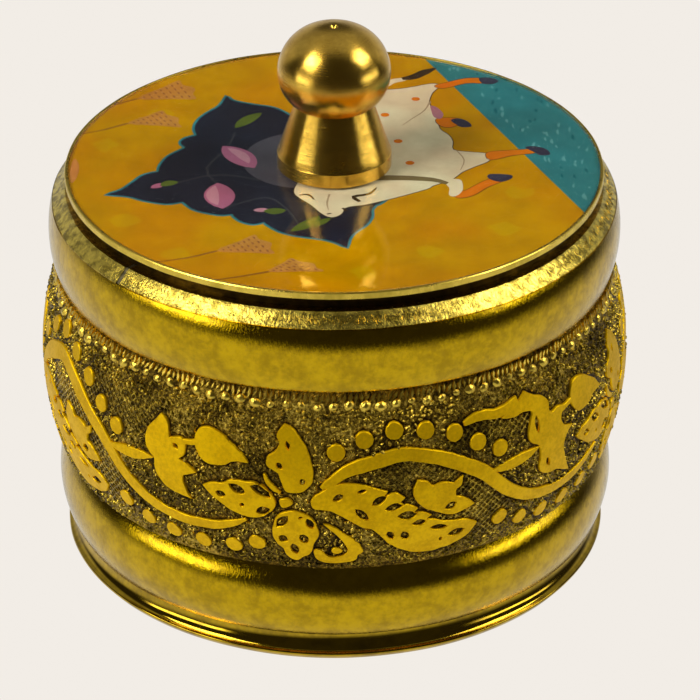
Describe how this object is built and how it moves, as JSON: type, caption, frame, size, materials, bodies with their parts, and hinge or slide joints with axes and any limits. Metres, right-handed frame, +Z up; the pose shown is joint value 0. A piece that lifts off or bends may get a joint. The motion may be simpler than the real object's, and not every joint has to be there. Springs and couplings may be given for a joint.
{
  "type": "lidded brass spice box",
  "caption": "Small round brass spice box with a chased vine belly, a flared foot and a lift-off picture lid with a turned knob.",
  "frame": {"origin": "centre of the foot's underside, on the surface that the box stands on", "axes": "+Z up along the box's axis of turning, -Y towards the front, where the picture's side edge lies"},
  "size_m": [0.08, 0.08, 0.0746],
  "materials": {
    "satin_brass": "satin, hand polished over light hammer marks",
    "chased_brass": "raised satin ornament over a dark stippled ground",
    "sheet_brass": "dull filed edge",
    "inner_brass": "unpolished, slightly tarnished",
    "turned_brass": "lathe turned, polished",
    "solder": "filed flush, paler than the sheet",
    "screw_steel": "zinc plated",
    "printed_picture": "printed, matte under the resin",
    "clear_resin": "clear, glossy, self-levelled"
  },
  "bodies": {
    "box": {"base_ring": "satin_brass", "foot_bulge": "satin_brass", "floor_plate": "inner_brass", "belly_wall": "chased_brass", "mouth_bead": "satin_brass", "rim_band": "sheet_brass", "band_solder": "solder", "neck_sleeve": "inner_brass"},
    "lid": {"lid_plate": "sheet_brass", "picture_film": "printed_picture", "resin_cover": "clear_resin", "locating_ring": "inner_brass", "knob_washer": "inner_brass", "knob_screw": "screw_steel", "knob": "turned_brass"}
  },
  "joints": [
    {"name": "lid_lift", "type": "slide", "parent": "box", "child": "lid", "axis": [0, 0, 1], "range_m": [0, 0.05]}
  ]
}
